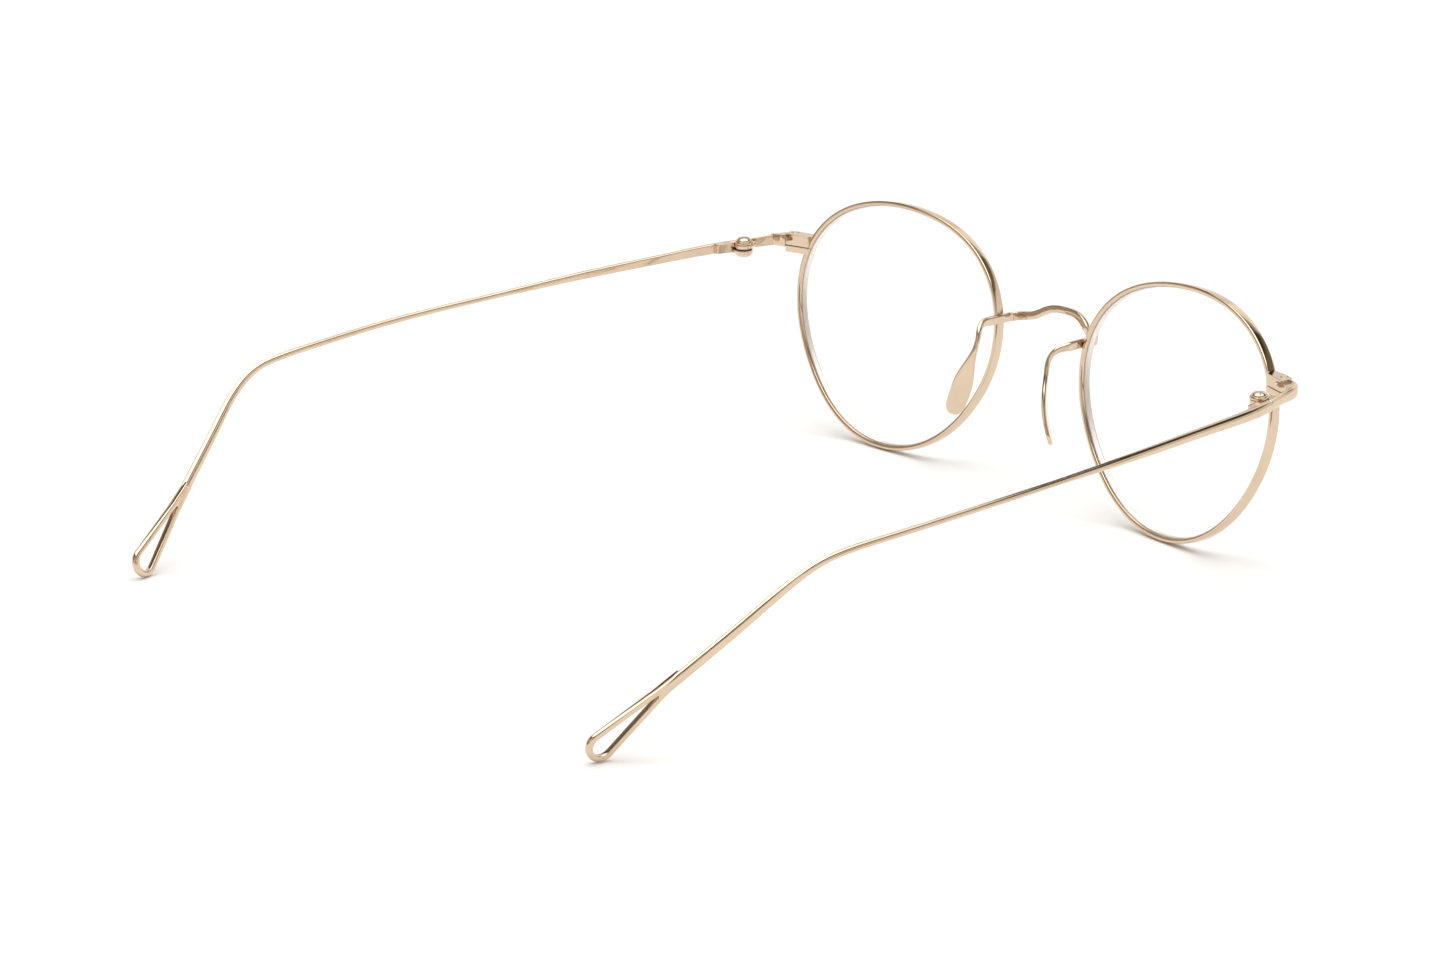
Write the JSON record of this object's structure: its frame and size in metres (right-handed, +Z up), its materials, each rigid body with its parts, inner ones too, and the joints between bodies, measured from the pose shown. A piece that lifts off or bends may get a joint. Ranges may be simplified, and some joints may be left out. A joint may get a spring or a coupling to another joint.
{
  "type": "eyeglasses",
  "caption": "Round metal eyeglasses with a thin saddle bridge, metal nose pads and folding temples that end in open loops.",
  "frame": {"origin": "bottom centre of the open glasses' box, on the surface that the rims and the temple tips stand on", "axes": "+X towards the wearer's left, +Y back along the temples, +Z up; the lenses lean forward at the top by the pantoscopic tilt"},
  "size_m": [0.1426, 0.1486, 0.0415],
  "materials": {
    "pale_gold": "polished pale gold plating",
    "clear_lens": "clear, polished, plain",
    "dark_nylon": "dark nylon washer"
  },
  "bodies": {
    "front": {"bridge_with_nose_pads": "pale_gold", "left_rim": "pale_gold", "right_rim": "pale_gold", "left_lens": "clear_lens", "right_lens": "clear_lens", "left_rim_lock_upper": "pale_gold", "right_rim_lock_upper": "pale_gold", "left_rim_lock_lower": "pale_gold", "right_rim_lock_lower": "pale_gold", "left_rim_lock_screw": "pale_gold", "right_rim_lock_screw": "pale_gold", "left_end_piece": "pale_gold", "right_end_piece": "pale_gold", "left_hinge_washer": "dark_nylon", "right_hinge_washer": "dark_nylon"},
    "left_temple": {"left_temple": "pale_gold", "left_temple_hinge_block": "pale_gold", "left_hinge_screw": "pale_gold"},
    "right_temple": {"right_temple": "pale_gold", "right_temple_hinge_block": "pale_gold", "right_hinge_screw": "pale_gold"}
  },
  "joints": [
    {"name": "left_temple_fold", "type": "hinge", "parent": "front", "child": "left_temple", "pos_m": [0.06279, -0.05635, 0.0305], "axis": [0, 0, 1], "range_deg": [0, 92]},
    {"name": "right_temple_fold", "type": "hinge", "parent": "front", "child": "right_temple", "pos_m": [-0.06279, -0.05635, 0.0305], "axis": [0, 0, -1], "range_deg": [0, 88]}
  ]
}
